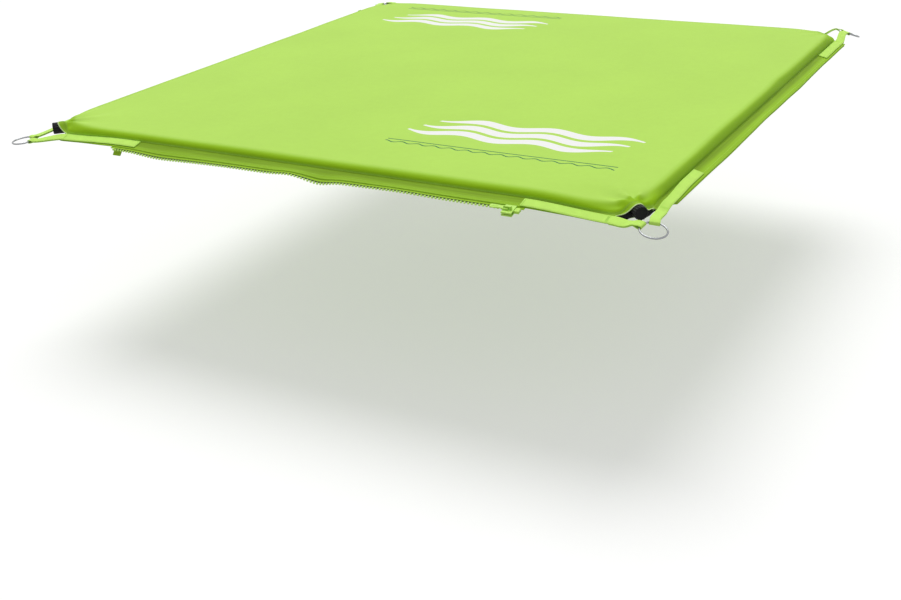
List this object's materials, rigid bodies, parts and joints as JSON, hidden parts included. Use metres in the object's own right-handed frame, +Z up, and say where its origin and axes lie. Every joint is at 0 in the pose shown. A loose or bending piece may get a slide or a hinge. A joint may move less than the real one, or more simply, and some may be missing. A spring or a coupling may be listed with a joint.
{
  "type": "swim float mat",
  "caption": "Square self-inflating foam float mat with zip halves on every edge, webbing straps holding a ring at each corner and screw valves at the front corners.",
  "frame": {"origin": "middle of the pad, on the surface that its underside rests on, at the mount underside", "axes": "+X along the front edge to the right, +Y to the back edge, +Z up"},
  "size_m": [1.3118, 1.3514, 0.03],
  "materials": {
    "cover_fabric": "satin",
    "underside_fabric": "matte",
    "foam": "matte",
    "webbing": "matte",
    "ring_steel": "polished",
    "zip_tape": "matte",
    "zip_plastic": "satin",
    "slider_plastic": "satin",
    "pull_plastic": "satin",
    "valve_plastic": "satin",
    "cap_plastic": "satin",
    "seal_rubber": "matte"
  },
  "bodies": {
    "mat": {"bottom_cover": "underside_fabric", "foam_core": "foam", "strap_back_left_end": "webbing", "strap_back_left_side": "webbing", "strap_back_right_end": "webbing", "strap_back_right_side": "webbing", "strap_front_left_end": "webbing", "strap_front_left_side": "webbing", "strap_front_right_end": "webbing", "strap_front_right_side": "webbing", "top_cover": "cover_fabric", "valve_front_left_body": "valve_plastic", "valve_front_right_body": "valve_plastic", "zip_back_pin": "zip_plastic", "zip_back_stop": "zip_plastic", "zip_back_tape": "zip_tape", "zip_back_teeth": "zip_plastic", "zip_front_retainer": "zip_plastic", "zip_front_stop": "zip_plastic", "zip_front_tape": "zip_tape", "zip_front_teeth": "zip_plastic", "zip_left_retainer": "zip_plastic", "zip_left_stop": "zip_plastic", "zip_left_tape": "zip_tape", "zip_left_teeth": "zip_plastic", "zip_right_pin": "zip_plastic", "zip_right_stop": "zip_plastic", "zip_right_tape": "zip_tape", "zip_right_teeth": "zip_plastic"},
    "ring_front_left": {"ring_front_left": "ring_steel"},
    "ring_front_right": {"ring_front_right": "ring_steel"},
    "ring_back_right": {"ring_back_right": "ring_steel"},
    "ring_back_left": {"ring_back_left": "ring_steel"},
    "slider_front": {"slider_front": "slider_plastic"},
    "pull_front": {"slider_front_pull": "pull_plastic"},
    "slider_left": {"slider_left": "slider_plastic"},
    "pull_left": {"slider_left_pull": "pull_plastic"},
    "valve_front_left_stopper": {"valve_front_left_seal": "seal_rubber"},
    "valve_front_left_cap": {"valve_front_left_cap": "cap_plastic"},
    "valve_front_right_stopper": {"valve_front_right_seal": "seal_rubber"},
    "valve_front_right_cap": {"valve_front_right_cap": "cap_plastic"}
  },
  "joints": [
    {"name": "ring_front_left_swing", "type": "hinge", "parent": "mat", "child": "ring_front_left", "pos_m": [-0.61751, -0.64001, 0.0052], "axis": [-0.638, 0.77, 0], "range_deg": [-83, 95], "deforming": ["strap_front_left_end", "strap_front_left_side"]},
    {"name": "ring_front_right_swing", "type": "hinge", "parent": "mat", "child": "ring_front_right", "pos_m": [0.62151, -0.63601, 0.0165], "axis": [-0.638, -0.77, 0], "range_deg": [-74, 104], "deforming": ["strap_front_right_end", "strap_front_right_side"]},
    {"name": "ring_back_right_swing", "type": "hinge", "parent": "mat", "child": "ring_back_right", "pos_m": [0.60351, 0.64701, 0.018], "axis": [0.638, -0.77, 0], "range_deg": [-68, 110], "deforming": ["strap_back_right_end", "strap_back_right_side"]},
    {"name": "ring_back_left_swing", "type": "hinge", "parent": "mat", "child": "ring_back_left", "pos_m": [-0.62151, 0.63601, 0.014], "axis": [0.638, 0.77, 0], "range_deg": [-76, 102], "deforming": ["strap_back_left_end", "strap_back_left_side"]},
    {"name": "slider_front_slide", "type": "slide", "parent": "mat", "child": "slider_front", "axis": [-1, 0, 0], "range_m": [0, 0.801]},
    {"name": "pull_front_flip", "type": "hinge", "parent": "slider_front", "child": "pull_front", "pos_m": [0.4005, -0.64236, 0.01154], "axis": [0, 0.9703, 0.2419], "range_deg": [0, 170]},
    {"name": "slider_left_slide", "type": "slide", "parent": "mat", "child": "slider_left", "axis": [0, -1, 0], "range_m": [0, 1.074]},
    {"name": "pull_left_flip", "type": "hinge", "parent": "slider_left", "child": "pull_left", "pos_m": [-0.63936, 0.537, 0.01154], "axis": [-0.9703, 0, -0.2419], "range_deg": [0, 170]},
    {"name": "valve_front_left_rise", "type": "slide", "parent": "mat", "child": "valve_front_left_stopper", "axis": [-0.7071, -0.7071, 0], "range_m": [0, 0.0046]},
    {"name": "valve_front_left_turn", "type": "hinge", "parent": "valve_front_left_stopper", "child": "valve_front_left_cap", "pos_m": [-0.5805, -0.5835, 0.017], "axis": [-0.7071, -0.7071, 0], "range_deg": [0, 540]},
    {"name": "valve_front_right_rise", "type": "slide", "parent": "mat", "child": "valve_front_right_stopper", "axis": [0.7071, -0.7071, 0], "range_m": [0, 0.0046]},
    {"name": "valve_front_right_turn", "type": "hinge", "parent": "valve_front_right_stopper", "child": "valve_front_right_cap", "pos_m": [0.5805, -0.5835, 0.017], "axis": [0.7071, -0.7071, 0], "range_deg": [0, 540]}
  ],
  "couplings": [
    {"joint": "valve_front_left_rise", "follows": "valve_front_left_turn", "m_per_rad": 0.00047746},
    {"joint": "valve_front_right_rise", "follows": "valve_front_right_turn", "m_per_rad": 0.00047746}
  ]
}
